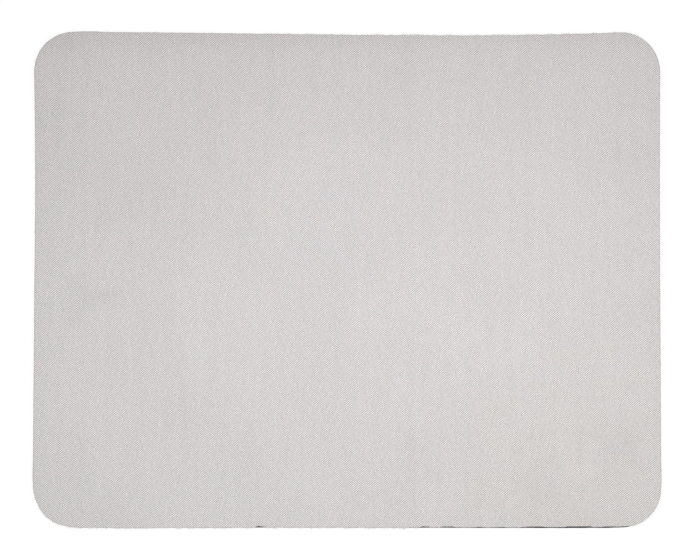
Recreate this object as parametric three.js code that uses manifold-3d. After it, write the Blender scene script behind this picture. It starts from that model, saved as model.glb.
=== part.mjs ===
// Cloth mouse pad: woven cloth on an adhesive film, a sponge rubber core and a ribbed rubber sole.
// Millimetres, +Z up. The origin lies on the desk, under the middle of the pad.
// +X runs along the long side, to the user's right, and +Y points away from the user.

import * as THREE from 'three';
import { mergeVertices } from 'three/addons/utils/BufferGeometryUtils.js';
import Module from 'manifold-3d';

// Outline of the die that cuts the pad from the laminate
const PAD_WIDTH = 240;
const PAD_DEPTH = 190;
const CORNER_RADIUS = 15.4;

// How far each side of the soft sheet has drawn in at its deepest place
const RIGHT_DRAW_IN = 0.25;
const BACK_DRAW_IN = 1.1;
const LEFT_DRAW_IN = 0.5;
const FRONT_DRAW_IN = 0.2;

// Where the deepest place lies, as a share of the side from its left or back end
const SIDE_DEEPEST = 0.33;
const BACK_DEEPEST = 0.7;
const FRONT_DEEPEST = 0.4;

// Layers, from the top down. The sole is a skin with the ribs of its tread below it.
const CLOTH_THICKNESS = 0.5;
const FILM_THICKNESS = 0.1;
const FOAM_THICKNESS = 1.7;
const SKIN_THICKNESS = 0.4;
const TREAD_DEPTH = 0.3;

// Die-cut edge: the wall leans out towards the front, the cloth is rolled down and the foam is hollow
const CUT_LEAN = 0.4;
const ROLL_WIDTH = 5;
const ROLL_DROP = 0.25;
const FOAM_HOLLOW = 0.15;

// Tread: drafted ribs that zigzag along X and run out through the cut edge
const RIB_PITCH = 4;
const RIB_CREST = 1.8;
const RIB_ROOT = 2.6;
const ZIGZAG_LENGTH = 24;
const ZIGZAG_SWING = 5;

// Finishes
const WOVEN_POLYESTER = { color: 0xd3d0cf, roughness: 0.95 };
const HOT_MELT_FILM = { color: 0xc9c5ba, roughness: 0.45 };
const SPONGE_RUBBER = { color: 0x24242a, roughness: 0.9 };
const MOULDED_RUBBER = { color: 0x1d1d20, roughness: 0.7 };

// Facets
const CORNER_STEPS = 10;
const SIDE_STEPS = 12;
const ROLL_STEPS = 4;
const HOLLOW_STEPS = 4;

// Heights of the faces where the layers meet, built up from the desk
const SKIN_TOP = TREAD_DEPTH + SKIN_THICKNESS;
const FOAM_TOP = SKIN_TOP + FOAM_THICKNESS;
const FILM_TOP = FOAM_TOP + FILM_THICKNESS;
const PAD_TOP = FILM_TOP + CLOTH_THICKNESS;

const QUARTER_TURN = Math.PI / 2;

const wasm = await Module();
wasm.setup();

// The sides in counterclockwise order, each with the share of its own run at which it is deepest
const SIDES = [
  { drawIn: RIGHT_DRAW_IN, deepest: 1 - SIDE_DEEPEST },
  { drawIn: BACK_DRAW_IN, deepest: 1 - BACK_DEEPEST },
  { drawIn: LEFT_DRAW_IN, deepest: SIDE_DEEPEST },
  { drawIn: FRONT_DRAW_IN, deepest: FRONT_DEEPEST },
];

// Smooth line from one corner to the next, pulled towards the middle of the pad at its deepest place
function sideCurve(start, end, { drawIn, deepest }) {
  const run = end.clone().sub(start).normalize();
  const inward = new THREE.Vector2(-run.y, run.x);
  const pulled = start.clone().lerp(end, deepest).addScaledVector(inward, drawIn);
  return new THREE.SplineCurve([start, pulled, end]);
}

// Counterclockwise ring of points on the outline, moved in all round by an inset
function outlineRing(inset) {
  const x = PAD_WIDTH / 2 - CORNER_RADIUS;
  const y = PAD_DEPTH / 2 - CORNER_RADIUS;
  const radius = CORNER_RADIUS - inset;
  const centres = [[x, -y], [x, y], [-x, y], [-x, -y]];
  const corners = centres.map(([cx, cy], turn) => {
    const from = (turn - 1) * QUARTER_TURN;
    return new THREE.EllipseCurve(cx, cy, radius, radius, from, from + QUARTER_TURN);
  });
  return corners.flatMap((corner, turn) => {
    const next = corners[(turn + 1) % corners.length];
    const side = sideCurve(corner.getPoint(1), next.getPoint(0), SIDES[turn]);
    return [
      ...corner.getPoints(CORNER_STEPS).slice(0, -1),
      ...side.getPoints(SIDE_STEPS).slice(0, -1),
    ];
  });
}

// How far back the leaning cut has carried the outline at a height
function leanAt(z) {
  return CUT_LEAN * (z / PAD_TOP - 1 / 2);
}

// Closed layer lofted through the outline at stations given from the lowest to the highest
function loftLayer(stations) {
  const rings = stations.map(({ inset }) => outlineRing(inset));
  const positions = rings.flatMap((ring, level) => {
    const { z } = stations[level];
    return ring.flatMap((point) => [point.x, point.y + leanAt(z), z]);
  });
  const count = rings[0].length;
  const topLevel = rings.length - 1;
  const triangles = [];
  for (let level = 0; level < topLevel; level += 1) {
    for (let i = 0; i < count; i += 1) {
      const here = level * count + i;
      const beside = level * count + (i + 1) % count;
      triangles.push(here, beside, beside + count);
      triangles.push(here, beside + count, here + count);
    }
  }
  for (const [a, b, c] of THREE.ShapeUtils.triangulateShape(rings[0], [])) {
    triangles.push(c, b, a);
  }
  for (const face of THREE.ShapeUtils.triangulateShape(rings[topLevel], [])) {
    triangles.push(...face.map((corner) => topLevel * count + corner));
  }
  const layer = new THREE.BufferGeometry();
  layer.setAttribute('position', new THREE.Float32BufferAttribute(positions, 3));
  layer.setIndex(triangles);
  return layer;
}

// The cloth: flat below, with its upper face rolled down to the cut along a parabola
function clothTop() {
  const stations = [{ z: FILM_TOP, inset: 0 }];
  for (let step = 0; step <= ROLL_STEPS; step += 1) {
    const along = step / ROLL_STEPS;
    stations.push({ z: PAD_TOP - ROLL_DROP * (1 - along) ** 2, inset: ROLL_WIDTH * along });
  }
  return loftLayer(stations);
}

// The adhesive film between the cloth and the foam
function bondFilm() {
  return loftLayer([{ z: FOAM_TOP, inset: 0 }, { z: FILM_TOP, inset: 0 }]);
}

// The foam: its wall springs back hollow once the blade has passed, deepest halfway up
function foamCore() {
  const stations = [];
  for (let step = 0; step <= HOLLOW_STEPS; step += 1) {
    const up = step / HOLLOW_STEPS;
    const fromMiddle = 2 * up - 1;
    stations.push({ z: SKIN_TOP + FOAM_THICKNESS * up, inset: FOAM_HOLLOW * (1 - fromMiddle ** 2) });
  }
  return loftLayer(stations);
}

// Solid for cutting and joining, from a closed geometry
function solidOf(geometry) {
  geometry.deleteAttribute('normal');
  geometry.deleteAttribute('uv');
  const merged = mergeVertices(geometry);
  return new wasm.Manifold(new wasm.Mesh({
    numProp: 3,
    vertProperties: new Float32Array(merged.attributes.position.array),
    triVerts: new Uint32Array(merged.index.array),
  }));
}

// Geometry of a finished solid
function geometryOf(solid) {
  const mesh = solid.getMesh();
  const geometry = new THREE.BufferGeometry();
  geometry.setAttribute('position', new THREE.BufferAttribute(mesh.vertProperties, 3));
  geometry.setIndex(new THREE.BufferAttribute(mesh.triVerts, 1));
  return geometry;
}

// One rib: a drafted profile run along X, then swung to and fro so that it turns at every half wave
function treadRib(middle, halfWaves) {
  const length = halfWaves * ZIGZAG_LENGTH / 2;
  const anchored = TREAD_DEPTH + SKIN_THICKNESS / 2;
  const profile = new THREE.Shape([
    new THREE.Vector2(-RIB_CREST / 2, 0),
    new THREE.Vector2(RIB_CREST / 2, 0),
    new THREE.Vector2(RIB_ROOT / 2, TREAD_DEPTH),
    new THREE.Vector2(RIB_ROOT / 2, anchored),
    new THREE.Vector2(-RIB_ROOT / 2, anchored),
    new THREE.Vector2(-RIB_ROOT / 2, TREAD_DEPTH),
  ]);
  const rib = new THREE.ExtrudeGeometry(profile, { depth: length, steps: halfWaves, bevelEnabled: false });
  const across = new THREE.Vector3(0, 1, 0);
  const up = new THREE.Vector3(0, 0, 1);
  const along = new THREE.Vector3(1, 0, 0);
  rib.applyMatrix4(new THREE.Matrix4().makeBasis(across, up, along));
  rib.translate(-length / 2, middle, 0);
  const position = rib.attributes.position;
  for (let i = 0; i < position.count; i += 1) {
    const swing = Math.sin(2 * Math.PI * position.getX(i) / ZIGZAG_LENGTH);
    position.setY(i, position.getY(i) + swing * ZIGZAG_SWING / 2);
  }
  return solidOf(rib);
}

// The sole: a skin with ribs moulded on a sheet larger than the pad, then cut out by the leaning die
function gripBase() {
  const halfWaves = 2 * Math.ceil(PAD_WIDTH / ZIGZAG_LENGTH) + 1;
  const ribsEachWay = Math.ceil((PAD_DEPTH + ZIGZAG_SWING) / 2 / RIB_PITCH);
  const sheetDepth = PAD_DEPTH + 2 * RIB_PITCH;
  const sheetHeight = 2 * SKIN_THICKNESS;
  const sheet = new THREE.BoxGeometry(halfWaves * ZIGZAG_LENGTH / 2, sheetDepth, sheetHeight);
  sheet.translate(0, 0, TREAD_DEPTH + sheetHeight / 2);
  let moulded = solidOf(sheet);
  for (let rib = -ribsEachWay; rib <= ribsEachWay; rib += 1) {
    moulded = moulded.add(treadRib(rib * RIB_PITCH, halfWaves));
  }
  const die = solidOf(loftLayer([{ z: -TREAD_DEPTH, inset: 0 }, { z: SKIN_TOP, inset: 0 }]));
  return geometryOf(moulded.intersect(die));
}

// A named layer with a finish of its own
function piece(name, geometry, finish) {
  const material = new THREE.MeshStandardMaterial({ ...finish, metalness: 0, flatShading: true });
  const mesh = new THREE.Mesh(geometry, material);
  mesh.name = name;
  return mesh;
}

const mousePad = new THREE.Group();
mousePad.name = 'mouse_pad';
mousePad.add(
  piece('cloth_top', clothTop(), WOVEN_POLYESTER),
  piece('bond_film', bondFilm(), HOT_MELT_FILM),
  piece('foam_core', foamCore(), SPONGE_RUBBER),
  piece('grip_base', gripBase(), MOULDED_RUBBER),
);

export default mousePad;
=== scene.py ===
# %% [markdown]
# # A cloth mouse pad, from its cut edge inwards
# The real pad is a laminate: woven polyester cloth, a film of hot-melt glue, a sheet of black sponge rubber
# and a ribbed rubber sole. A steel-rule die stamps it out of a wide sheet, so every layer shares one
# outline, and the only places where the layers show are the cut edge and the underside.
#
# The frame holds the four layers at their real size. It could be dressed with materials alone, but the cut
# edge, the open cells of the sponge and the frayed threads are shapes, so each layer is modelled again here
# from the measures of its solid and takes that solid's place. Its edge stays within a millimetre of it.

# %% Load the frame
import math

import bmesh
import bpy
import numpy as np
from mathutils import Matrix, Vector


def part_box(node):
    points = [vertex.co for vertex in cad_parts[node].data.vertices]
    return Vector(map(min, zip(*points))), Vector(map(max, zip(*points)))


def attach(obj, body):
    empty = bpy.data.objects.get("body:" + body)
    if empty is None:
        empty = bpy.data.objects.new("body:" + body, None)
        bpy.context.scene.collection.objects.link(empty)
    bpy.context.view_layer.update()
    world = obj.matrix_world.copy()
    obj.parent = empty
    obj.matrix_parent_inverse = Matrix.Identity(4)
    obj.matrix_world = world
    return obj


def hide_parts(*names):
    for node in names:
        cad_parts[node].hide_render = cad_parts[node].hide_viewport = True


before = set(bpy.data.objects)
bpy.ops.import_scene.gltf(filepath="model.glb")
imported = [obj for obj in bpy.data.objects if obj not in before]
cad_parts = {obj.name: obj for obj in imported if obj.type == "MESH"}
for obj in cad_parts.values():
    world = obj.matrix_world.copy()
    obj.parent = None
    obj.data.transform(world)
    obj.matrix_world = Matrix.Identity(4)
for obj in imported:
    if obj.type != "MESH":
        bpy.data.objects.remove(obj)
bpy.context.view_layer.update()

MM = 0.001
CLOTH_LOW, CLOTH_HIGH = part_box("cloth_top")
FILM_LOW, FILM_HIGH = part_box("bond_film")
FOAM_LOW, FOAM_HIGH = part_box("foam_core")
SOLE_LOW, SOLE_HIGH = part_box("grip_base")
PAD_WIDTH = CLOTH_HIGH.x - CLOTH_LOW.x
PAD_DEPTH = CLOTH_HIGH.y - CLOTH_LOW.y
LEAN = (CLOTH_LOW.y - SOLE_LOW.y) / (CLOTH_LOW.z - SOLE_LOW.z)
print(f"pad {PAD_WIDTH:.4f} by {PAD_DEPTH:.4f} m, {CLOTH_HIGH.z:.4f} m thick")
print(f"the cut leans {LEAN:.3f} mm forward in every millimetre of depth")

# %% [markdown]
# ## The outline
# The die gives all layers one outline, with rounded corners and sides that have drawn in a little. It could
# be drawn again from its sizes, but the frame already holds it: the rim of the glue film. Its corner points
# are read in order round the pad, joined by smooth cubic pieces and spaced evenly, so that every layer below
# follows the frame whatever its size.

# %% Read the outline from the film
RIM_STEPS = 12
RIM_TOLERANCE = 0.01 * MM
RIM_DIGITS = 6


def rim_points():
    """The film's upper rim as a ring of corner points, counterclockwise."""
    lowest = FILM_HIGH.z - RIM_TOLERANCE
    corners = [v.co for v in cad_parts["bond_film"].data.vertices if v.co.z > lowest]
    places = {(round(c.x, RIM_DIGITS), round(c.y, RIM_DIGITS)) for c in corners}
    ring = sorted(places, key=lambda c: math.atan2(c[1], c[0]))
    apart = [c for c, last in zip(ring, ring[-1:] + ring[:-1]) if math.dist(c, last) > RIM_TOLERANCE]
    return np.array(apart)


def outline(spacing):
    """Evenly spaced points on the outline and their outward directions."""
    rim = rim_points()
    before, after = np.roll(rim, 1, axis=0), np.roll(rim, -1, axis=0)
    back = np.linalg.norm(rim - before, axis=1)[:, None]
    ahead = np.linalg.norm(after - rim, axis=1)[:, None]
    slope = ((after - rim) / ahead * back + (rim - before) / back * ahead) / (back + ahead)
    pieces = []
    for t in np.linspace(0, 1, RIM_STEPS, endpoint=False):
        start = (2 * t**3 - 3 * t**2 + 1) * rim + (t**3 - 2 * t**2 + t) * ahead * slope
        end = (3 * t**2 - 2 * t**3) * after + (t**3 - t**2) * ahead * np.roll(slope, -1, axis=0)
        pieces.append(start + end)
    fine = np.stack(pieces, axis=1).reshape(-1, 2)
    closed = np.vstack([fine, fine[:1]])
    run = np.concatenate([[0], np.cumsum(np.linalg.norm(np.diff(closed, axis=0), axis=1))])
    places = np.linspace(0, run[-1], round(run[-1] / spacing), endpoint=False)
    points = np.stack([np.interp(places, run, closed[:, k]) for k in (0, 1)], axis=1)
    along = np.roll(points, -1, axis=0) - np.roll(points, 1, axis=0)
    outward = np.stack([along[:, 1], -along[:, 0]], axis=1)
    return points, outward / np.linalg.norm(outward, axis=1)[:, None]


def loop_area(points):
    """The area inside a ring of points."""
    x, y = points.T
    return abs(np.dot(x, np.roll(y, -1)) - np.dot(y, np.roll(x, -1))) / 2


print(f"outline from {len(rim_points())} rim points, area {loop_area(outline(MM)[0]):.5f} square metres")

# %% [markdown]
# ## Helpers for a layer
# Each layer starts as a circle primitive whose points are moved on to the outline. From there it is built as
# by hand: the face is extruded up into a wall, and its end face is inset ring by ring and lifted a little
# each time. That makes the rolled edge which the blade leaves, where the laminate is pinched on its way down.

# %% Layer helpers
ROLL_WIDTH = 5.0 * MM
ROLL_REACHES = [reach * MM for reach in (0.06, 0.2, 0.5, 1.0, 1.7, 2.6, 3.7, 5.0)]
QUAD_CORNERS = 4
SHARP_ANGLE = 40


def outline_face(name, points, z):
    """A flat face in a ring of points at a height, left in edit mode with everything selected."""
    bpy.ops.object.select_all(action="DESELECT")
    bpy.ops.mesh.primitive_circle_add(vertices=len(points), radius=1, fill_type="NGON")
    piece = bpy.context.object
    piece.name = name
    for vertex, (x, y) in zip(piece.data.vertices, points):
        vertex.co = (x, y + LEAN * (z - FILM_HIGH.z), z)
    bpy.ops.object.mode_set(mode="EDIT")
    bpy.ops.mesh.select_all(action="SELECT")
    return piece


def extrude_up(rise):
    """Extrudes the selected face upwards along the leaning cut."""
    bpy.ops.mesh.extrude_region_move(TRANSFORM_OT_translate={"value": (0, LEAN * rise, rise)})


def roll_in(drop, lip=0.0):
    """Insets the selected end face and lifts it along the parabola of the rolled edge, after a small lip."""
    done = 0.0
    for reach in ROLL_REACHES:
        bpy.ops.mesh.inset(thickness=reach - done)
        lift = drop * ((1 - done / ROLL_WIDTH) ** 2 - (1 - reach / ROLL_WIDTH) ** 2)
        bpy.ops.transform.translate(value=(0, 0, lift + lip))
        done, lip = reach, 0.0


def select_where(piece, test):
    """Selects the faces of the piece in edit mode that pass a test, and nothing else."""
    bpy.ops.mesh.select_all(action="DESELECT")
    mesh = bmesh.from_edit_mesh(piece.data)
    for face in mesh.faces:
        face.select_set(test(face))
    bmesh.update_edit_mesh(piece.data)


def select_underside(piece):
    """Selects the one large face on the underside of the piece."""
    select_where(piece, lambda face: len(face.verts) > QUAD_CORNERS and face.normal.z < 0)


def close_piece(piece, angle=SHARP_ANGLE):
    """Leaves edit mode with the normals outwards and the edges sharper than an angle kept sharp."""
    bpy.ops.mesh.select_all(action="SELECT")
    bpy.ops.mesh.normals_make_consistent(inside=False)
    bpy.ops.object.mode_set(mode="OBJECT")
    bpy.ops.object.shade_smooth_by_angle(angle=math.radians(angle))
    print(f"{piece.name}: {len(piece.data.vertices)} points, {len(piece.data.polygons)} faces")


print(f"rolled edge: {len(ROLL_REACHES)} insets over {ROLL_WIDTH / MM:.0f} mm")

# %% [markdown]
# ## The cut edges
# The layers don't end quite alike. Along the right half of the back the threads have worked loose, so the
# core lies further in there and the threads stand past it. The front left corner is worn rounder than the
# others, and the back half of the left side and both ends of the front have drawn in a little more. Along the
# front the blade carried the cloth forward over the rubber at the left and let go of it towards the right,
# where the dark core shows from above as a fine, broken line. The rings of points could be pulled about by
# hand, but a few ramps and dashes along the edge say the same and can be read.

# %% Ramps along the edge
# Each ramp is a pair: the place where it starts and the place where it is full
EDGE_BAND_START, EDGE_BAND_FULL = 10 * MM, 4 * MM
LOOSE_FROM = (-60 * MM, 10 * MM)
LOOSE_TO = (112 * MM, 102 * MM)
FRONT_FRAYED = (45 * MM, 25 * MM)
FRAY_SIDES = 0.4
FRAY_FRONT = 0.9


def ramp(value, start, end):
    """0 up to the start, 1 from the end on, and a straight line between them."""
    return np.clip((value - start) / (end - start), 0, 1)


def loose_back(x, y):
    """Where the threads of the back have worked loose, up to 1: along its right half."""
    at_back = ramp(y, FILM_HIGH.y - EDGE_BAND_START, FILM_HIGH.y - EDGE_BAND_FULL)
    return at_back * ramp(x, *LOOSE_FROM) * ramp(x, *LOOSE_TO)


def fray(x, y):
    """How far the cut has frayed at a place, up to 1: most along the loose back, least where rubber shows."""
    at_front = ramp(y, FILM_LOW.y + EDGE_BAND_START, FILM_LOW.y + EDGE_BAND_FULL)
    front = FRAY_FRONT * ramp(x, *FRONT_FRAYED)
    return FRAY_SIDES * (1 - at_front) + front * at_front + (1 - FRAY_SIDES) * loose_back(x, y)


print(f"fray in the middle: back {fray(0.0, FILM_HIGH.y):.2f}, front {fray(0.0, FILM_LOW.y):.2f}")

# %% The core's edge and the cloth's edge
BACK_INSET = 0.36 * MM
CORNER_INSET = 0.55 * MM
END_INSET = 0.28 * MM
LEFT_INSET = 0.16 * MM
CLOTH_INSET = 0.17 * MM
FRONT_REACH = 0.38 * MM
FRONT_ENDS = (88 * MM, 102 * MM)
LEFT_DRAWN = (0, 30 * MM)
SQUARE_ON = (0.85, 1)
TURNED_FRONT = (0, 0.4)
WORN_SPREAD = 0.6
DASH_FADE = 1
# Rubber in sight along the front, in mm: from and to along the edge, and how wide
FRONT_DASHES = [
    (-60, 22, 0.10),
    (-35, -31, 0.60),
    (22, 66, 0.20),
    (28, 32, 0.56),
    (36, 41, 0.50),
    (49, 52, 0.36),
    (57, 61, 0.28),
    (66, 108, 0.32),
    (68, 76, 0.49),
    (83, 94, 0.58),
    (97, 103, 0.49),
]


def core_edge(spacing):
    """The outline as the rubber keeps it, and its outward directions."""
    points, outward = outline(spacing)
    x, y = points.T
    round_corner = np.clip(2 * outward.prod(axis=1), 0, 1) ** WORN_SPREAD
    worn_corner_and_darker_back = np.where((x < 0) & (y < 0), round_corner, 0)
    ends = ramp(abs(x), *FRONT_ENDS) * ramp(-outward[:, 1], *SQUARE_ON)
    drawn = ramp(-outward[:, 0], *SQUARE_ON) * ramp(y, *LEFT_DRAWN)
    inset = BACK_INSET * loose_back(x, y) + CORNER_INSET * worn_corner_and_darker_back + END_INSET * ends + LEFT_INSET * drawn
    return points - outward * inset[:, None], outward


def rubber_shown(x):
    """How much rubber the cloth leaves in sight at places along the front: the widest dash at each."""
    shown = np.zeros_like(x)
    for first, last, width in FRONT_DASHES:
        begun = ramp(x, (first - DASH_FADE) * MM, (first + DASH_FADE) * MM)
        not_ended = ramp(x, (last + DASH_FADE) * MM, (last - DASH_FADE) * MM)
        shown = np.maximum(shown, width * MM * (begun * not_ended))
    return shown


def cloth_edge(spacing, inset=CLOTH_INSET):
    """The outline of the cloth, set in from the core but for the front, and its outward directions."""
    points, outward = core_edge(spacing)
    faces_front = ramp(-outward[:, 1], *TURNED_FRONT)
    moved = points - outward * (inset * (1 - faces_front))[:, None]
    moved[:, 1] -= (FRONT_REACH - rubber_shown(points[:, 0])) * faces_front
    return moved, outward


print(f"cloth inside its edge: {loop_area(cloth_edge(MM)[0]):.5f} square metres")

# %% [markdown]
# ## The woven cloth
# The cloth is half a millimetre of plain weave, bonded flat and pinched down at the cut. It could be draped
# by a simulation, but bonded cloth can't fold or sag: its only form is the rolled edge. So it is built as a
# thin closed slab whose upper and lower faces are both rolled.

# %% Model the cloth
CLOTH_SPACING = 0.8 * MM
ROLL_TOP = 0.25 * MM
ROLL_UNDER = 0.15 * MM
CLOTH_LIP = 0.05 * MM

edge_low = CLOTH_LOW.z - ROLL_UNDER
edge_high = CLOTH_HIGH.z - ROLL_TOP - CLOTH_LIP
edge_middle = (edge_low + edge_high) / 2
cloth = outline_face("woven_cloth", cloth_edge(CLOTH_SPACING)[0], edge_low)
extrude_up(edge_high - edge_low)
roll_in(ROLL_TOP, CLOTH_LIP)
select_underside(cloth)
roll_in(ROLL_UNDER)
close_piece(cloth)

# %% [markdown]
# ## The glue film
# Hot-melt film is laid between cloth and sponge and pressed hot. Only its cut edge could ever show, as a hair
# line under the cloth, where some of it was squeezed out between the thread ends. It follows the rolled edge
# of the cloth above it, so it is built the same way, but it isn't set in.

# %% Model the film
film = outline_face("glue_film", cloth_edge(CLOTH_SPACING, inset=0.0)[0], FILM_LOW.z - ROLL_UNDER)
extrude_up(FILM_HIGH.z - FILM_LOW.z)
roll_in(ROLL_UNDER)
select_underside(film)
roll_in(ROLL_UNDER)
close_piece(film)

# %% [markdown]
# ## The sponge core
# The core is sponge rubber. When the blade has passed, the squeezed wall springs back a little hollow, and
# the knife has opened its cells, so the wall is full of small pits. Bump alone would leave a smooth outline,
# so the wall gets fine rows of faces, is drawn in along its normals, and a cell pattern is pressed into it by
# a Displace modifier that only reaches the wall.

# %% Model the sponge
SPONGE_SPACING = 0.42 * MM
SPONGE_SHARP_ANGLE = 60
WALL_ROWS = 8
WALL_HOLLOW = 0.15 * MM

wall_height = FOAM_HIGH.z - ROLL_UNDER - FOAM_LOW.z
row_height = wall_height / WALL_ROWS
sponge = outline_face("sponge_core", core_edge(SPONGE_SPACING)[0], FOAM_LOW.z)
for row in range(WALL_ROWS):
    extrude_up(row_height)
roll_in(ROLL_UNDER)
for row in range(1, WALL_ROWS):
    level = FOAM_LOW.z + row_height * row
    bpy.ops.mesh.select_all(action="DESELECT")
    bpy.ops.mesh.select_mode(type="VERT")
    mesh = bmesh.from_edit_mesh(sponge.data)
    for vertex in mesh.verts:
        vertex.select_set(abs(vertex.co.z - level) < row_height / 4)
    mesh.select_flush_mode()
    bmesh.update_edit_mesh(sponge.data)
    from_middle = 2 * row / WALL_ROWS - 1
    bpy.ops.transform.shrink_fatten(value=-WALL_HOLLOW * (1 - from_middle**2))
bpy.ops.mesh.select_mode(type="FACE")
close_piece(sponge, SPONGE_SHARP_ANGLE)

# %% Press the cut cells into the wall
CELL_SIZE = 0.9 * MM
CELL_DEPTH = 0.22 * MM

wall_foot = FOAM_LOW.z + row_height / 2
wall_top = FOAM_LOW.z + wall_height - row_height / 2
on_wall = [v.index for v in sponge.data.vertices if wall_foot < v.co.z < wall_top]
wall = sponge.vertex_groups.new(name="cut_wall")
wall.add(on_wall, 1.0, "REPLACE")
# The second nearest cell's distance less the nearest's is 0 at the cell walls and largest in the middles
cells = bpy.data.textures.new("sponge_cells", "VORONOI")
cells.noise_scale = CELL_SIZE
cells.weight_1 = -1.0
cells.weight_2 = 1.0
pits = sponge.modifiers.new("cut_cells", "DISPLACE")
pits.texture = cells
pits.texture_coords = "LOCAL"
pits.vertex_group = wall.name
pits.mid_level = 0.0
pits.strength = -CELL_DEPTH
bpy.ops.object.modifier_apply(modifier=pits.name)
print(f"sponge_core: cells of about {CELL_SIZE / MM:.1f} mm pressed into {len(on_wall)} points of the wall")

# %% [markdown]
# ## The ribbed sole
# The underside is a thin skin of solid rubber with a herringbone tread, moulded in a press before the
# laminate is cut, so the ribs run straight out through the edge. One rib could be modelled and copied, but
# the tread is one moulded surface: a grid primitive whose rows take the section of the ribs and whose columns
# swing from side to side. The turns are eased and the crests rounded, as rubber leaves a mould. Its rim is
# extruded up, capped, and the slab is cut to the outline with a boolean, as the die does it.

# %% Lay out the tread
TREAD_DEPTH = 0.3 * MM
RIB_PITCH = 4.0 * MM
RIB_CREST = 1.8 * MM
RIB_ROOT = 2.6 * MM
ZIGZAG_LENGTH = 24.0 * MM
ZIGZAG_SWING = 5.0 * MM
TURN_SHARPNESS = 0.985
TURN_STATIONS = (0.0, 0.05, 0.13, 0.5, 0.87, 0.95)
EASE = 0.14 * MM
ROOT_EASED = 0.88
CREST_EASED = 0.22
# One rib from side to side: the place across it, and the height as a share of the tread's depth
SECTION = [
    (-RIB_ROOT / 2 - EASE, 1.0),
    (-RIB_ROOT / 2 + EASE / 3, ROOT_EASED),
    (-RIB_CREST / 2 - EASE, CREST_EASED),
    (-RIB_CREST / 2 + EASE / 2, 0.0),
    (RIB_CREST / 2 - EASE / 2, 0.0),
    (RIB_CREST / 2 + EASE, CREST_EASED),
    (RIB_ROOT / 2 - EASE / 3, ROOT_EASED),
    (RIB_ROOT / 2 + EASE, 1.0),
]


def swing(x):
    """The sideways place of a rib along its zigzag, with eased turns."""
    wave = TURN_SHARPNESS * np.sin(2 * np.pi * x / ZIGZAG_LENGTH)
    return ZIGZAG_SWING / 2 * np.arcsin(wave) / np.arcsin(TURN_SHARPNESS)


half_waves = 2 * math.ceil((SOLE_HIGH.x - SOLE_LOW.x) / ZIGZAG_LENGTH) + 1
first_turn = -half_waves * ZIGZAG_LENGTH / 4
columns = [
    first_turn + (turn + part) * ZIGZAG_LENGTH / 2
    for turn in range(half_waves)
    for part in TURN_STATIONS
]
columns.append(first_turn + half_waves * ZIGZAG_LENGTH / 2)
ribs_each_way = math.ceil((SOLE_HIGH.y - SOLE_LOW.y + ZIGZAG_SWING) / 2 / RIB_PITCH)
rows = [
    (rib * RIB_PITCH + offset, depth * TREAD_DEPTH)
    for rib in range(-ribs_each_way, ribs_each_way + 1)
    for offset, depth in SECTION
]
print(f"tread: {len(rows) // len(SECTION)} ribs with {half_waves - 1} turns each")

# %% Model the sole
bpy.ops.object.select_all(action="DESELECT")
bpy.ops.mesh.primitive_grid_add(x_subdivisions=len(columns) - 1, y_subdivisions=len(rows) - 1, size=1)
sole = bpy.context.object
sole.name = "ribbed_sole"
for vertex in sole.data.vertices:
    x = columns[round((vertex.co.x + 0.5) * (len(columns) - 1))]
    offset, height = rows[round((vertex.co.y + 0.5) * (len(rows) - 1))]
    vertex.co = (x, offset + swing(x), SOLE_LOW.z + height)
bpy.ops.object.mode_set(mode="EDIT")
bpy.ops.mesh.select_all(action="DESELECT")
bpy.ops.mesh.select_mode(type="EDGE")
bpy.ops.mesh.select_non_manifold()
bpy.ops.mesh.extrude_region_move()
stock_top = SOLE_HIGH.z + TREAD_DEPTH
mesh = bmesh.from_edit_mesh(sole.data)
for vertex in mesh.verts:
    if vertex.select:
        vertex.co.z = stock_top
bmesh.update_edit_mesh(sole.data)
bpy.ops.mesh.edge_face_add()
bpy.ops.mesh.select_mode(type="FACE")
close_piece(sole)

# %% Cut the sole to the outline
DIE_SPACING = 1.0 * MM

die = outline_face("die", core_edge(DIE_SPACING)[0], SOLE_LOW.z - TREAD_DEPTH)
extrude_up(SOLE_HIGH.z - SOLE_LOW.z + TREAD_DEPTH)
close_piece(die)
bpy.ops.object.select_all(action="DESELECT")
sole.select_set(True)
bpy.context.view_layer.objects.active = sole
stamp = sole.modifiers.new("stamp", "BOOLEAN")
stamp.operation = "INTERSECT"
stamp.solver = "EXACT"
stamp.object = die
bpy.ops.object.modifier_apply(modifier=stamp.name)
bpy.data.objects.remove(die)
bpy.ops.object.shade_smooth_by_angle(angle=math.radians(SHARP_ANGLE))
print(f"ribbed_sole: {len(sole.data.polygons)} faces after the cut")

# %% [markdown]
# ## The weave, in numbers
# The cloth is a plain weave: every thread passes over one and under the next. The threads that run front to
# back lean a little, and those that run across are bowed, as cloth is when it is drawn through a dryer. It is
# also stretched towards its edges, so the threads lie a little further apart there. Two numbers place any
# point of the cloth: the count of warp threads passed going right, and of weft threads passed going back. The
# cut ends below and the cloth's colour both use them, so the thread ends stand on the threads.

# %% Weave counts
WARP_SPACING = 0.4923 * MM
WEFT_SPACING = 0.3938 * MM
WARP_LEAN = 0.075
WEFT_SLOPE = 0.0637
WEFT_BOW = 0.2135
STRETCH = 0.44
STRETCH_MIDDLE = (27.7 * MM, -23.4 * MM)


def unstretched(x, y):
    """Where a point of the cloth lay before the stretch, which grows with the square of the distance."""
    middle_x, middle_y = STRETCH_MIDDLE
    right, back = x - middle_x, y - middle_y
    shrink = 1 - STRETCH * (right**2 + back**2)
    return middle_x + right * shrink, middle_y + back * shrink


def warp_count(x, y):
    """Warp threads passed on the way to the right."""
    x, y = unstretched(x, y)
    return (x + WARP_LEAN * y) / WARP_SPACING


def weft_count(x, y):
    """Weft threads passed on the way to the back. The bow is the curve of a thread, per metre."""
    x, y = unstretched(x, y)
    return (y - WEFT_SLOPE * x + WEFT_BOW * x**2) / WEFT_SPACING


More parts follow.
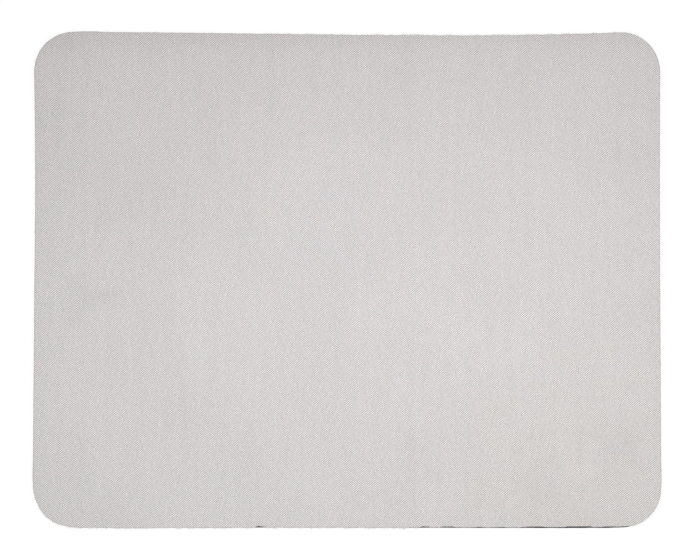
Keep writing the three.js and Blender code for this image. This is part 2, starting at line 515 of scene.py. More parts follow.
print(f"about {PAD_WIDTH / WARP_SPACING:.0f} warp and {PAD_DEPTH / WEFT_SPACING:.0f} weft threads")

# %% [markdown]
# ## The cut thread ends
# Where the blade cut the cloth, each thread ends in a blunt stub. Neighbours stand high and low by turns,
# as the weave leaves them, and here and there a few have worked out of the edge together, most of all along
# the right half of the back. A particle system would scatter them anywhere, so each stub is placed where its
# own thread meets the outline. One stub is modelled and copied.

# %% Model one thread end
STUB_LENGTH = 1.1 * MM
STUB_TIP = 0.08 * MM
STUB_SIDES = 6
STUB_BEVEL = 0.16
FACING_END = 0.9


def thread_stub(width, height):
    """One cut thread end along +X, its blunt tip at the origin, made one unit wide and then squashed."""
    bpy.ops.object.select_all(action="DESELECT")
    bpy.ops.mesh.primitive_cylinder_add(vertices=STUB_SIDES, radius=0.5, depth=STUB_LENGTH)
    stub = bpy.context.object
    stub.name = "thread_stub"
    bpy.ops.object.mode_set(mode="EDIT")
    select_where(stub, lambda face: face.normal.z > FACING_END)
    bpy.ops.mesh.inset(thickness=STUB_BEVEL)
    bpy.ops.transform.translate(value=(0, 0, STUB_TIP))
    bpy.ops.object.mode_set(mode="OBJECT")
    lay_along_x = Matrix(((0, 0, 1, 0), (width, 0, 0, 0), (0, height, 0, 0), (0, 0, 0, 1)))
    stub.data.transform(Matrix.Translation((-STUB_LENGTH / 2 - STUB_TIP, 0, 0)) @ lay_along_x)
    return stub


def copies(name, pattern, places):
    """One mesh of copies of a modelled pattern, one for each placing matrix."""
    shape = np.array([vertex.co for vertex in pattern.data.vertices])
    faces = [tuple(face.vertices) for face in pattern.data.polygons]
    points, joined = [], []
    for place in places:
        turn = np.array(place.to_3x3())
        joined += [tuple(corner + len(points) * len(shape) for corner in face) for face in faces]
        points.append(shape @ turn.T + np.array(place.translation))
    mesh = bpy.data.meshes.new(name)
    mesh.from_pydata(np.vstack(points), [], joined)
    mesh.shade_smooth()
    piece = bpy.data.objects.new(name, mesh)
    bpy.context.scene.collection.objects.link(piece)
    print(f"{name}: {len(places)} copies of {len(faces)} faces")
    return piece


print(f"thread end: {STUB_LENGTH / MM:.1f} mm long with {STUB_SIDES} sides")

# %% Place the thread ends
WARP_STUB = (0.36 * MM, 0.19 * MM)
WEFT_STUB = (0.29 * MM, 0.17 * MM)
STUB_SEED = 7
STUB_STAND, STAND_LEAST = 0.06 * MM, 0.4
CLUMP_OUT, CLUMP_LENGTH, CLUMP_RARITY = 0.5 * MM, 2.0 * MM, 1.5
SINGLE_OUT = 0.4 * MM
STUB_DROOP = 0.2
STUB_YAW = 0.3
STUB_RISE = 0.07 * MM
STUB_SMALLEST, STUB_SPREAD = 0.85, 0.3
EDGE_SPACING = 0.1 * MM
LEAST_FACING = 0.55


def wander(places, spacing, rng):
    """A random line from 0 to 1 along places, with humps about one spacing long."""
    knots = rng.random(int(places.max() / spacing) + 3)
    return np.interp(places / spacing, np.arange(len(knots)), knots)


def thread_ends(name, count, direction, stub, seed):
    """Stubs where the threads of one direction meet the edge of the cloth."""
    rng = np.random.default_rng(seed)
    points, outward = cloth_edge(EDGE_SPACING)
    nearest = np.floor(count(points[:, 0], points[:, 1]) - 0.5)
    ends = np.nonzero(nearest != np.roll(nearest, -1))[0]
    clumps = wander(np.arange(len(points)) * EDGE_SPACING, CLUMP_LENGTH, rng) ** CLUMP_RARITY
    places = []
    for end in ends:
        x, y = points[end]
        run = Vector(direction(x)).normalized()
        facing = run.x * outward[end, 0] + run.y * outward[end, 1]
        turn, jitter, size = rng.random(3)
        if abs(facing) < LEAST_FACING:
            continue
        run *= math.copysign(1, facing)
        loose = CLUMP_OUT * clumps[end] + SINGLE_OUT * turn**2
        stand = STUB_STAND * (STAND_LEAST + jitter) + fray(x, y) * loose
        level = edge_middle + STUB_RISE * (1 if nearest[end] % 2 else -1)
        yaw = math.atan2(run.y, run.x) + STUB_YAW * (turn - 0.5)
        place = Matrix.Translation((x, y, level)) @ Matrix.Rotation(yaw, 4, "Z")
        place @= Matrix.Rotation(STUB_DROOP * jitter * stand / CLUMP_OUT, 4, "Y")
        place @= Matrix.Translation((stand, 0, 0))
        places.append(place @ Matrix.Scale(STUB_SMALLEST + STUB_SPREAD * size, 4))
    piece = copies(name, stub, places)
    bpy.data.objects.remove(stub)
    return piece


def along_warp(x):
    """The direction of a warp thread, which is the same at every x."""
    return (-WARP_LEAN, 1, 0)


def along_weft(x):
    """The direction of a weft thread where it passes x."""
    return (1, WEFT_SLOPE - 2 * WEFT_BOW * x, 0)


warp_ends = thread_ends("warp_ends", warp_count, along_warp, thread_stub(*WARP_STUB), STUB_SEED)
weft_ends = thread_ends("weft_ends", weft_count, along_weft, thread_stub(*WEFT_STUB), STUB_SEED + 1)

# %% [markdown]
# ## The loose fibres
# A polyester yarn is a bundle of filaments, and handling pulls a few out of the cut edge as fine curls. They
# are far thinner than a pixel here, yet they soften the edge. Hair strands would do, but they aren't a mesh,
# so each fibre is a spline of one curve object with a thin bevel, which is then turned into a mesh.

# %% Draw the loose fibres
FIBRE_SEED = 23
FIBRE_COUNT = 260
FIBRE_RADIUS = 0.018 * MM
FIBRE_POINTS = 6
FIBRE_ROOT = 0.2 * MM
FIBRE_REACH, REACH_LEAST = 0.9 * MM, 0.25
FIBRE_CURL = 1.6
SAG_LEAST, SAG_SPREAD = 0.15, 0.5

rng = np.random.default_rng(FIBRE_SEED)
points, outward = cloth_edge(EDGE_SPACING)
weight = fray(*points.T)
chosen = rng.choice(len(points), FIBRE_COUNT, p=weight / weight.sum())
strands = bpy.data.curves.new("loose_fibres", "CURVE")
strands.dimensions = "3D"
strands.bevel_depth = FIBRE_RADIUS
strands.bevel_resolution = 0
strands.use_fill_caps = True
for index in chosen:
    out = Vector((*outward[index], 0))
    along = Vector((-out.y, out.x, 0))
    reach = FIBRE_REACH * (REACH_LEAST + rng.random() ** 2)
    curl = FIBRE_CURL * (rng.random() - 0.5)
    sag = SAG_LEAST + SAG_SPREAD * rng.random()
    root = Vector((*points[index], edge_middle)) - out * FIBRE_ROOT
    strand = strands.splines.new("POLY")
    strand.points.add(FIBRE_POINTS - 1)
    for step, point in enumerate(strand.points):
        t = step / (FIBRE_POINTS - 1)
        bent = reach * t**2
        place = root + out * (reach * t) + along * (curl * bent) - Vector((0, 0, sag * bent))
        point.co = (*place, 1)
print(f"{len(strands.splines)} fibres rooted {FIBRE_ROOT / MM:.1f} mm inside the edge")

# %% Turn the fibres into a mesh
fibres = bpy.data.objects.new("loose_fibres", strands)
bpy.context.scene.collection.objects.link(fibres)
bpy.ops.object.select_all(action="DESELECT")
fibres.select_set(True)
bpy.context.view_layer.objects.active = fibres
bpy.ops.object.convert(target="MESH")
fibres = bpy.context.object
print(f"loose_fibres: {FIBRE_COUNT} fibres, {len(fibres.data.polygons)} faces")

# %% [markdown]
# ## Helpers for the materials
# Colours are written as sRGB hex values, as read off a screen, and turned to the linear light that shaders
# work in. One function adds a node with its settings and its inputs, which may be numbers, colours or the
# outputs of other nodes.

# %% Material helpers


def linear(hex_colour):
    """An sRGB hex colour as linear RGBA."""
    channels = [int(hex_colour[i : i + 2], 16) / 255 for i in (1, 3, 5)]
    return [c / 12.92 if c <= 0.04045 else ((c + 0.055) / 1.055) ** 2.4 for c in channels] + [1.0]


def add(tree, kind, inputs=None, **settings):
    """Adds a node of a kind with its settings, and fills its inputs with values or other nodes' outputs."""
    node = tree.nodes.new("ShaderNode" + kind)
    for name, value in settings.items():
        setattr(node, name, value)
    for key, value in (inputs or {}).items():
        if isinstance(value, bpy.types.NodeSocket):
            tree.links.new(value, node.inputs[key])
        else:
            node.inputs[key].default_value = value
    return node


def new_material(name):
    """An empty node material with its output, and the tree that holds them."""
    material = bpy.data.materials.new(name)
    material.use_nodes = True
    material.node_tree.nodes.clear()
    return material, material.node_tree, add(material.node_tree, "OutputMaterial")


print(f"a screen's middle grey is {linear('#808080')[0]:.3f} in linear light")

# %% [markdown]
# ## Woven polyester: the threads
# What the eye gets from this cloth is a fine chequer: each place where a warp thread lies on top catches the
# light a little differently from its neighbours, where a weft thread does. That difference is painted into
# the colour of one grey yarn, as painted highlight on the warp and painted shade on the weft. An image of
# cloth could be tiled, but the weave is simple arithmetic. The two counts from above are worked out again in
# nodes, after a broad noise has let the threads drift to and fro. Floor the counts, and their sum is even
# where the warp is on top. White noise varies each crossing, and the painted chequer is stronger in some
# patches than in others.

# %% Thread counts in nodes
DRIFT_SIZE, DRIFT = 5 * MM, 0.42 * MM


def thread_counts(tree, place):
    """The warp and weft counts at a place, as warp_count and weft_count give them but for the drift."""
    drift = add(tree, "TexNoise", {"Vector": place, "Scale": 1 / DRIFT_SIZE, "Detail": 1.0}).outputs["Color"]
    drawn = {0: drift, 1: (DRIFT, DRIFT, 0), 2: place}
    moved = add(tree, "VectorMath", drawn, operation="MULTIPLY_ADD").outputs[0]
    middle = (*STRETCH_MIDDLE, 0)
    away = add(tree, "VectorMath", {0: moved, 1: middle}, operation="SUBTRACT").outputs[0]
    far = add(tree, "VectorMath", {0: away, 1: away}, operation="DOT_PRODUCT").outputs["Value"]
    shrink = add(tree, "Math", {0: far, 1: -STRETCH, 2: 1.0}, operation="MULTIPLY_ADD").outputs[0]
    laid = add(tree, "VectorMath", {0: away, 1: shrink, 2: middle}, operation="MULTIPLY_ADD").outputs[0]
    warp_step = (1 / WARP_SPACING, WARP_LEAN / WARP_SPACING, 0)
    weft_step = (-WEFT_SLOPE / WEFT_SPACING, 1 / WEFT_SPACING, 0)
    warp = add(tree, "VectorMath", {0: laid, 1: warp_step}, operation="DOT_PRODUCT").outputs["Value"]
    straight = add(tree, "VectorMath", {0: laid, 1: weft_step}, operation="DOT_PRODUCT").outputs["Value"]
    x = add(tree, "SeparateXYZ", {0: laid}).outputs["X"]
    square = add(tree, "Math", {0: x, 1: x}, operation="MULTIPLY").outputs[0]
    bow = {0: square, 1: WEFT_BOW / WEFT_SPACING, 2: straight}
    weft = add(tree, "Math", bow, operation="MULTIPLY_ADD").outputs[0]
    return warp, weft


print(f"the threads drift over {DRIFT / MM:.2f} mm, in waves of about {DRIFT_SIZE / MM:.0f} mm")

# %% Tones of the threads
# The warp and weft are one grey yarn: the paler warp tone is painted highlight and the darker weft tone is
# painted shade
WARP_LIT_TONE = "#EEEBEA"
WEFT_SHADED_TONE = "#B7B4B3"
PATCH_SIZE = 3.0 * MM
PATCH_FROM, PATCH_TO = 0.3, 0.7
CHEQUER_FAINT, CHEQUER_STRONG = 0.6, 1.47
UNEVEN = 0.025


def painted_chequer_and_tones(tree, place, warp, weft):
    """The colour of the thread on top, paler on the warp and darker on the weft as painted highlight and
    painted shade, and a share of the light that differs from crossing to crossing.
    """
    warp_number = add(tree, "Math", {0: warp}, operation="FLOOR").outputs[0]
    weft_number = add(tree, "Math", {0: weft}, operation="FLOOR").outputs[0]
    total = add(tree, "Math", {0: warp_number, 1: weft_number}, operation="ADD").outputs[0]
    weft_on_top = add(tree, "Math", {0: total, 1: 2.0}, operation="FLOORED_MODULO").outputs[0]
    patchy = add(tree, "TexNoise", {"Vector": place, "Scale": 1 / PATCH_SIZE, "Detail": 1.0}).outputs["Fac"]
    found = {"Value": patchy, "From Min": PATCH_FROM, "From Max": PATCH_TO}
    wanted = {"To Min": CHEQUER_FAINT, "To Max": CHEQUER_STRONG}
    contrast = add(tree, "MapRange", found | wanted).outputs[0]
    turned = add(tree, "Math", {0: weft_on_top, 1: 0.5}, operation="SUBTRACT").outputs[0]
    balance = add(tree, "Math", {0: turned, 1: contrast, 2: 0.5}, operation="MULTIPLY_ADD").outputs[0]
    tones = {0: balance, 6: linear(WARP_LIT_TONE), 7: linear(WEFT_SHADED_TONE)}
    thread = add(tree, "Mix", tones, data_type="RGBA", clamp_factor=False).outputs[2]

    crossing = add(tree, "CombineXYZ", {0: warp_number, 1: weft_number}).outputs[0]
    chance = add(tree, "TexWhiteNoise", {"Vector": crossing}, noise_dimensions="3D").outputs["Value"]
    vary = {"Value": chance, "To Min": 1 - UNEVEN, "To Max": 1 + UNEVEN}
    return thread, add(tree, "MapRange", vary).outputs[0]


print(f"in linear red the warp is {linear(WARP_LIT_TONE)[0]:.2f} and the weft {linear(WEFT_SHADED_TONE)[0]:.2f}")

# %% [markdown]
# ## Woven polyester: the relief
# Each thread is round, so a little shade gathers in the gaps between threads, and that shade is painted into
# the colour. Here and there a thread stands proud of its neighbours, or sinks below them, for a short
# stretch, and the eye reads that as a small dash; these dashes are painted paler and darker, as painted
# highlight and painted shade. The threads could be modelled, but there are nearly five hundred each way. So
# sines of the counts round them for a bump, and a fine noise picks the stretches that stand proud.

# %% Relief of the threads
NOISE_MIDDLE = (0.5, 0.5, 0.5)
ROUNDING = 0.5
GAP_SHADE = 0.08
PROUD_SIZE = 1.0 * MM
WARP_PROUD, WEFT_PROUD = 0.42, 0.3


def thread_relief(tree, place, warp, weft):
    """The rounded height of the threads, and the shares of the light left by the painted shade in the gaps
    and by the painted highlight and shade of proud threads.
    """
    warp_turn = add(tree, "Math", {0: warp, 1: math.pi}, operation="MULTIPLY").outputs[0]
    weft_turn = add(tree, "Math", {0: weft, 1: math.pi}, operation="MULTIPLY").outputs[0]
    warp_wave = add(tree, "Math", {0: warp_turn}, operation="SINE").outputs[0]
    weft_wave = add(tree, "Math", {0: weft_turn}, operation="SINE").outputs[0]
    waves = add(tree, "Math", {0: warp_wave, 1: weft_wave}, operation="MULTIPLY").outputs[0]
    ridges = add(tree, "Math", {0: waves}, operation="ABSOLUTE").outputs[0]
    height = add(tree, "Math", {0: ridges, 1: ROUNDING}, operation="POWER").outputs[0]
    # Painted shade in the gaps between the threads
    gap = add(tree, "MapRange", {"Value": height, "To Min": 1 - GAP_SHADE, "To Max": 1.0}).outputs[0]

    # Painted highlight and painted shade: the stretches where a thread stands proud of its neighbours and
    # where it sinks
    chance = add(tree, "TexNoise", {"Vector": place, "Scale": 1 / PROUD_SIZE, "Detail": 0.0}).outputs["Color"]
    centred = add(tree, "VectorMath", {0: chance, 1: NOISE_MIDDLE}, operation="SUBTRACT").outputs[0]
    both = add(tree, "CombineXYZ", {0: warp_wave, 1: weft_wave}).outputs[0]
    amounts = {0: both, 1: (WARP_PROUD, WEFT_PROUD, 0)}
    lifted = add(tree, "VectorMath", amounts, operation="MULTIPLY").outputs[0]
    stands = add(tree, "VectorMath", {0: centred, 1: lifted}, operation="DOT_PRODUCT").outputs["Value"]
    proud = add(tree, "Math", {0: stands, 1: 1.0}, operation="ADD").outputs[0]
    return height, gap, proud


print(f"gaps take up to {GAP_SHADE:.0%} of the light, and proud stretches are about {PROUD_SIZE / MM:.0f} mm")

# %% [markdown]
# ## Woven polyester: wear, dirt and a darker back
# Used cloth isn't even. Broad, faint stains lie over it, with a few specks of lint and some ragged smudges
# from use, and warp threads that were drawn tighter on the loom leave streaks from front to back. The cloth
# is also darker over the last centimetre at the back. All this could be painted on an image. Here each kind
# is one noise or a few spots of a real size, and gives the share of the light that it leaves.

# %% Wear, dirt and the darker back of the cloth
STAIN_SIZE, STAIN_SEED, STAIN_ROUGHNESS, STAIN_SHADE = 45 * MM, 3.0, 0.62, 0.05
SPECK_SPACING, SPECK_SIZE, SPECK_SHADE = 48 * MM, 0.4 * MM, 0.16
DARKER_BACK_FROM, DARKER_BACK_TO, DARKER_BACK_SHARE = 84 * MM, 95 * MM, 0.045
STREAK_WIDTH, STREAK_LENGTH, STREAK_SHADE = 3.2 * MM, 50 * MM, 0.034
RAGGED_SIZE, RAGGED = 11 * MM, 28 * MM
# Smudges: x, y and reach in mm, and the share of the light that each takes
SMUDGES = [
    (104, -64, 13, 0.05),
    (-98, -9, 12, 0.04),
    (106, 46, 13, 0.03),
    (-84, 33, 22, 0.016),
    (108, -22, 26, 0.022),
    (73, -81, 12, 0.025),
    (30, -66, 14, 0.012),
    (-64, -56, 26, 0.018),
    (-109, 86, 16, 0.03),
]


def soft_spot(tree, place, spot):
    """1 in the middle of a round spot on the cloth and 0 outside it. The spot is x, y and its reach in mm."""
    x, y, reach = (size * MM for size in spot)
    away = add(tree, "VectorMath", {0: place, 1: (x, y, CLOTH_HIGH.z)}, operation="DISTANCE").outputs["Value"]
    fall = {"Value": away, "From Min": 0.0, "From Max": reach, "To Min": 1.0, "To Max": 0.0}
    return add(tree, "MapRange", fall, interpolation_type="SMOOTHSTEP").outputs[0]


def smudges(tree, place):
    """The shares of the light that the smudges leave, one for each, with ragged outlines."""
    torn = add(tree, "TexNoise", {"Vector": place, "Scale": 1 / RAGGED_SIZE, "Detail": 2.0}).outputs["Color"]
    centred = add(tree, "VectorMath", {0: torn, 1: NOISE_MIDDLE}, operation="SUBTRACT").outputs[0]
    pulled = {0: centred, 1: (RAGGED, RAGGED, 0), 2: place}
    ragged = add(tree, "VectorMath", pulled, operation="MULTIPLY_ADD").outputs[0]
    shares = []
    for *spot, shade in SMUDGES:
        smudge = {"Value": soft_spot(tree, ragged, spot), "To Min": 1.0, "To Max": 1 - shade}
        shares.append(add(tree, "MapRange", smudge).outputs[0])
    return shares


def wear_and_darker_back(tree, place):
    """The shares of the light that stains, specks, the darker back, streaks and smudges leave."""
    blots = {"Vector": place, "W": STAIN_SEED, "Scale": 1 / STAIN_SIZE}
    blots |= {"Detail": 3.0, "Roughness": STAIN_ROUGHNESS}
    stain = add(tree, "TexNoise", blots, noise_dimensions="4D").outputs["Fac"]
    soiled = {"Value": stain, "To Min": 1 - STAIN_SHADE, "To Max": 1 + STAIN_SHADE}
    soil = add(tree, "MapRange", soiled).outputs[0]
    lint = {"Vector": place, "Scale": 1 / SPECK_SPACING}
    apart = add(tree, "TexVoronoi", lint, voronoi_dimensions="2D").outputs["Distance"]
    near = SPECK_SIZE / SPECK_SPACING
    dots = {"Value": apart, "From Min": near / 3, "From Max": near, "To Min": 1 - SPECK_SHADE, "To Max": 1.0}
    speck = add(tree, "MapRange", dots).outputs[0]
    # The cloth is darker over the last centimetre at the back
    y = add(tree, "SeparateXYZ", {0: place}).outputs["Y"]
    back = {"Value": y, "From Min": DARKER_BACK_FROM, "From Max": DARKER_BACK_TO, "To Min": 1.0, "To Max": 1 - DARKER_BACK_SHARE}
    worn_corner_and_darker_back = add(tree, "MapRange", back, interpolation_type="SMOOTHSTEP").outputs[0]
    streaks = {0: place, 1: (1 / STREAK_WIDTH, 1 / STREAK_LENGTH, 0)}
    drawn_out = add(tree, "VectorMath", streaks, operation="MULTIPLY").outputs[0]
    tight = add(tree, "TexNoise", {"Vector": drawn_out, "Scale": 1.0, "Detail": 2.0}).outputs["Fac"]
    streaky = {"Value": tight, "To Min": 1 - STREAK_SHADE, "To Max": 1 + STREAK_SHADE}
    streak = add(tree, "MapRange", streaky).outputs[0]
    return [soil, speck, worn_corner_and_darker_back, streak, *smudges(tree, place)]


print(f"{len(SMUDGES)} smudges, the darkest takes {max(smudge[-1] for smudge in SMUDGES):.0%} of the light")

# %% [markdown]
# ## Woven polyester: the tint
# The grey isn't quite one grey. The right and the back are a little pinker, as if sunned, against a neutral
# front left. A cool patch lies in the middle, and the front right, where a hand would rest, has yellowed.
# Smooth gradients would look airbrushed, so each tint comes in soft blotches that a round spot draws together
# or thins out.

# %% Tint of the cloth
TINT_BASE = (0.9938, 1.0, 0.9966)
BLOTCH_EDGE = 0.06
# How each tint shifts red, green and blue, and where its blotches lie
TINTS = [
    ((0.0237, 0.0, 0.007), {"size": 6.5 * MM, "spot": (-71, -61, 230), "pull": -0.4, "start": 0.27}),
    ((0.0, 0.0, 0.028), {"size": 5.0 * MM, "spot": (-10, 18, 50), "pull": 0.19, "start": 0.68}),
    ((0.0, 0.0, -0.021), {"size": 7.0 * MM, "spot": (88, -72, 78), "pull": 0.4, "start": 0.68}),
]


def blotches(tree, place, size, spot, pull, start):
    """0 and 1 in soft blotches of a size, which a round spot draws together or, at a negative pull, thins."""
    noise = add(tree, "TexNoise", {"Vector": place, "Scale": 1 / size, "Detail": 2.0}).outputs["Fac"]
    drawn = {0: soft_spot(tree, place, spot), 1: pull, 2: noise}
    gathered = add(tree, "Math", drawn, operation="MULTIPLY_ADD").outputs[0]
    limits = {"Value": gathered, "From Min": start, "From Max": start + BLOTCH_EDGE}
    return add(tree, "MapRange", limits).outputs[0]


def cloth_tint(tree, place):
    """The red, green and blue shares of the light that the cloth sends back at a place."""
    tint = TINT_BASE
    for shift, lie in TINTS:
        shifted = {0: blotches(tree, place, **lie), 1: shift, 2: tint}
        tint = add(tree, "VectorMath", shifted, operation="MULTIPLY_ADD").outputs[0]
    return tint


print(f"{len(TINTS)} tints, the strongest shifts a colour by {max(max(shift) for shift, lie in TINTS):.1%}")

# %% [markdown]
# ## Woven polyester: the finish
# The threads' tones are multiplied by the tint and by every share of the light. Polyester yarn is matte
# here, because its filaments scatter the light, with a trace of sheen at a low angle.

# %% Woven polyester
POLYESTER_IOR = 1.57
THREAD_RELIEF, RELIEF_STRENGTH = 0.05 * MM, 0.6
CLOTH_FINISH = {
    "Roughness": 0.95,
    "IOR": POLYESTER_IOR,
    "Specular IOR Level": 0.2,
    "Sheen Weight": 0.08,
    "Sheen Roughness": 0.5,
}


def woven_polyester():
    """Matte, pale warm grey plain weave, with the threads at their real spacing."""
    material, tree, output = new_material("woven_polyester")
    place = add(tree, "TexCoord").outputs["Object"]
    warp, weft = thread_counts(tree, place)
    thread, uneven = painted_chequer_and_tones(tree, place, warp, weft)
    height, gap, proud = thread_relief(tree, place, warp, weft)
    shade = gap
    for share in (uneven, proud, *wear_and_darker_back(tree, place)):
        shade = add(tree, "Math", {0: shade, 1: share}, operation="MULTIPLY").outputs[0]
    tinted = {0: thread, 1: cloth_tint(tree, place)}
    clean = add(tree, "VectorMath", tinted, operation="MULTIPLY").outputs[0]
    colour = add(tree, "VectorMath", {0: clean, "Scale": shade}, operation="SCALE").outputs[0]
    relief = {"Height": height, "Distance": THREAD_RELIEF, "Strength": RELIEF_STRENGTH}
    bump = add(tree, "Bump", relief).outputs[0]
    surface = add(tree, "BsdfPrincipled", {"Base Color": colour, "Normal": bump, **CLOTH_FINISH})
    tree.links.new(surface.outputs[0], output.inputs["Surface"])
    print(f"{material.name}: {len(tree.nodes)} nodes")
    return material


cloth_finish = woven_polyester()

# %% [markdown]
# ## Rubber, glue and yarn
# Sponge rubber is dull and nearly black; its paler cell walls and dark pores are painted light and painted
# shade, set by the same noise as its bump. The moulded sole is the same black with a finer grain and a little
# more gloss. The glue film dries satin, milky in some places and clearer in others. The cut yarn has no
# weave, because a thread by itself has none, and is painted a little paler than the cloth: painted light that
# lifts the shade on the sides of the thin stubs and fibres. Each could have a shader of its own, but all are
# two tones in grains of a real size.

# %% Rubber, glue and yarn
RUBBER_IOR = 1.52
GLUE_IOR = 1.48
# In the sponge the dark tone is painted shade in the pores and the pale tone painted light on the cell walls
SPONGE_DARK, SPONGE_PALE = "#181724", "#2D2C42"
SOLE_DARK, SOLE_PALE = "#17171C", "#222229"
GLUE_DARK, GLUE_PALE = "#BDB8AC", "#D3D0C7"
# The yarn is painted paler than the cloth: painted light that lifts the shade on the sides of the thin stubs
# and fibres
YARN_DARK, YARN_PALE = "#D4D0CE", "#EAE6E4"
DARK_UP_TO, PALE_FROM = 0.35, 0.68
GRAIN_STRENGTH = 0.8
DULL_SPECULAR = 0.3


def grained(name, dark, pale, grain, relief, roughness, ior):
    """A dull material that varies between two tones in grains of a real size, with a matching bump."""
    material, tree, output = new_material(name)
    place = add(tree, "TexCoord").outputs["Object"]
    noise = add(tree, "TexNoise", {"Vector": place, "Scale": 1 / grain, "Detail": 4.0}).outputs["Fac"]
    tones = add(tree, "ValToRGB", {"Fac": noise})
    tones.color_ramp.elements[0].position = DARK_UP_TO
    tones.color_ramp.elements[0].color = linear(dark)
    tones.color_ramp.elements[1].position = PALE_FROM
    tones.color_ramp.elements[1].color = linear(pale)
    bump = add(tree, "Bump", {"Height": noise, "Distance": relief, "Strength": GRAIN_STRENGTH}).outputs[0]
    finish = {"Roughness": roughness, "IOR": ior, "Specular IOR Level": DULL_SPECULAR}
    surface = add(tree, "BsdfPrincipled", {"Base Color": tones.outputs[0], "Normal": bump, **finish})
    tree.links.new(surface.outputs[0], output.inputs["Surface"])
    print(f"{name}: grains of {grain / MM:.2f} mm")
    return material


sponge_rubber = grained(
    "cut_sponge_rubber",
    SPONGE_DARK,
    SPONGE_PALE,
    grain=0.5 * MM,
    relief=0.08 * MM,
    roughness=0.95,
    ior=RUBBER_IOR,
)
sole_rubber = grained(
    "moulded_rubber", SOLE_DARK, SOLE_PALE, grain=0.3 * MM, relief=0.03 * MM, roughness=0.6, ior=RUBBER_IOR
)
glue = grained(
    "hot_melt_glue", GLUE_DARK, GLUE_PALE, grain=0.4 * MM, relief=0.02 * MM, roughness=0.4, ior=GLUE_IOR
)
yarn = grained(
    "cut_polyester_yarn",
    YARN_DARK,
    YARN_PALE,
    grain=0.25 * MM,
    relief=0.02 * MM,
    roughness=0.9,
    ior=POLYESTER_IOR,
)

# %% [markdown]
# ## Dressing the pieces
# Each piece gets its one material and rides on the pad's only body. The four layers take the places of their
# solids.

# %% Dress the pieces
for piece, finish, slot in (
    (cloth, cloth_finish, "woven_polyester"),
    (film, glue, "hot_melt_film"),
    (sponge, sponge_rubber, "sponge_rubber"),
    (sole, sole_rubber, "moulded_rubber"),
    (warp_ends, yarn, "woven_polyester"),
    (weft_ends, yarn, "woven_polyester"),
    (fibres, yarn, "woven_polyester"),
):
    piece.data.materials.clear()
    piece.data.materials.append(finish)
    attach(piece, "root")
    print(f"{piece.name}: {finish.name}")
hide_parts("cloth_top")
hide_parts("bond_film")
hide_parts("foam_core")
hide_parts("grip_base")

# %% [markdown]
# ## The floor and the light
# The pad is seen against plain white. The floor is a pale plane that catches the pad's shadow, and to the
# camera it also glows, so that it reads as white paper without more light on the pad. One wide soft lamp
# hangs above the pad, right of the middle and towards the front, so that the cloth is a little darker at the
# back left. An even sky fills in the rest.

# %% Floor
FLOOR_SIZE = 6.0
FLOOR_DROP = 0.02 * MM
FLOOR_GLOW = 0.9
FLOOR_TONE = 0.14
BOUNCE_TONE = 0.8


def seen_directly(tree):
    """1 for light that meets the eye straight, or by way of gloss or glass, and 0 for light that bounces."""
    rays = add(tree, "LightPath").outputs
    glossy = {0: rays["Is Camera Ray"], 1: rays["Is Glossy Ray"]}
    reflected = add(tree, "Math", glossy, operation="MAXIMUM").outputs[0]
    clear = {0: reflected, 1: rays["Is Transmission Ray"]}
    return add(tree, "Math", clear, operation="MAXIMUM").outputs[0]


bpy.ops.object.select_all(action="DESELECT")
bpy.ops.mesh.primitive_plane_add(size=FLOOR_SIZE, location=(0, 0, SOLE_LOW.z - FLOOR_DROP))
floor = bpy.context.object
floor.name = "floor"
paper, tree, output = new_material("white_paper")
glow = add(tree, "Emission", {"Strength": FLOOR_GLOW}).outputs[0]
matte = add(tree, "BsdfDiffuse", {"Color": (FLOOR_TONE, FLOOR_TONE, FLOOR_TONE, 1)}).outputs[0]
white = add(tree, "AddShader", {0: glow, 1: matte}).outputs[0]
pale = add(tree, "BsdfDiffuse", {"Color": (BOUNCE_TONE, BOUNCE_TONE, BOUNCE_TONE, 1)}).outputs[0]
mixed = add(tree, "MixShader", {0: seen_directly(tree), 1: pale, 2: white}).outputs[0]
tree.links.new(mixed, output.inputs["Surface"])
floor.data.materials.append(paper)
print(f"floor: {FLOOR_SIZE:.0f} m wide, {FLOOR_DROP / MM:.2f} mm below the sole")

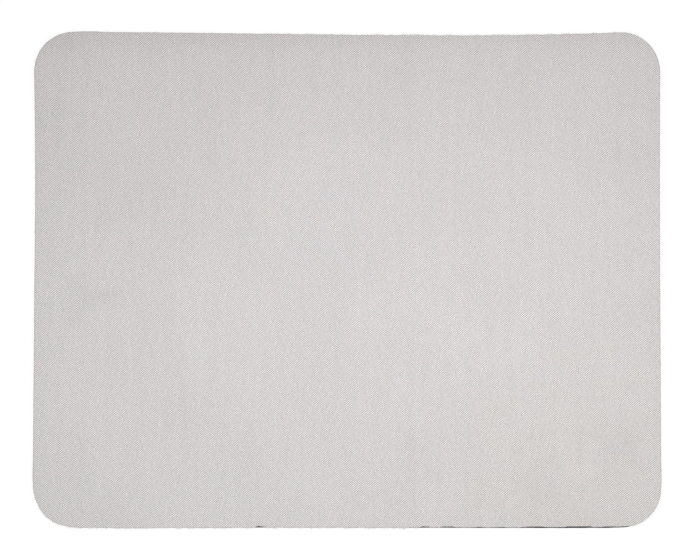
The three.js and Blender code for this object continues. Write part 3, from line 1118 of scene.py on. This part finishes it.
# %% Lamp and sky
LAMP_PLACE = (24 * MM, -24 * MM, 303 * MM)
LAMP_LONG, LAMP_DEEP = 421 * MM, 210 * MM
LAMP_TURN = math.radians(13)
LAMP_POWER = 0.818
SKY_FILL = 0.415
SKY_SEEN = 0.95

bpy.ops.object.light_add(type="AREA", location=LAMP_PLACE, rotation=(0, 0, LAMP_TURN))
lamp = bpy.context.object
lamp.name = "soft_lamp"
lamp.data.shape = "RECTANGLE"
lamp.data.size = LAMP_LONG
lamp.data.size_y = LAMP_DEEP
lamp.data.energy = LAMP_POWER
lamp.visible_camera = False
lamp.visible_glossy = False

world = bpy.data.worlds.new("even_sky")
world.use_nodes = True
tree = world.node_tree
tree.nodes.clear()
bright = {"Value": seen_directly(tree), "To Min": SKY_FILL, "To Max": SKY_SEEN}
strength = add(tree, "MapRange", bright).outputs[0]
sky = add(tree, "Background", {"Color": (1, 1, 1, 1), "Strength": strength}).outputs[0]
tree.links.new(sky, add(tree, "OutputWorld").inputs["Surface"])
bpy.context.scene.world = world
bpy.context.scene.view_settings.view_transform = "Standard"
print(f"lamp of {LAMP_POWER} W at {LAMP_PLACE[2]:.2f} m, sky at {SKY_FILL}")

# %% [markdown]
# ## The camera
# The pad was photographed from almost straight above, from a good distance and a little towards its front,
# so its far side looks a touch narrower and its back wall is hidden. A long lens from over three metres gives
# the same.

# %% Camera
IMAGE_WIDTH = 700
PIXEL = 0.3825 * MM
CAMERA_DISTANCE = 3.24
CAMERA_TILT = math.radians(4.2)
AIM = Vector((1.15 * MM, -0.345 * MM, CLOTH_HIGH.z))
SENSOR_MM = 36.0

eye = AIM + CAMERA_DISTANCE * Vector((0, -math.sin(CAMERA_TILT), math.cos(CAMERA_TILT)))
bpy.ops.object.camera_add(location=eye, rotation=(CAMERA_TILT, 0, 0))
camera = bpy.context.object
camera.data.sensor_width = SENSOR_MM
camera.data.lens = SENSOR_MM * CAMERA_DISTANCE / (IMAGE_WIDTH * PIXEL)
bpy.context.scene.camera = camera
print(f"lens {camera.data.lens:.1f} mm")
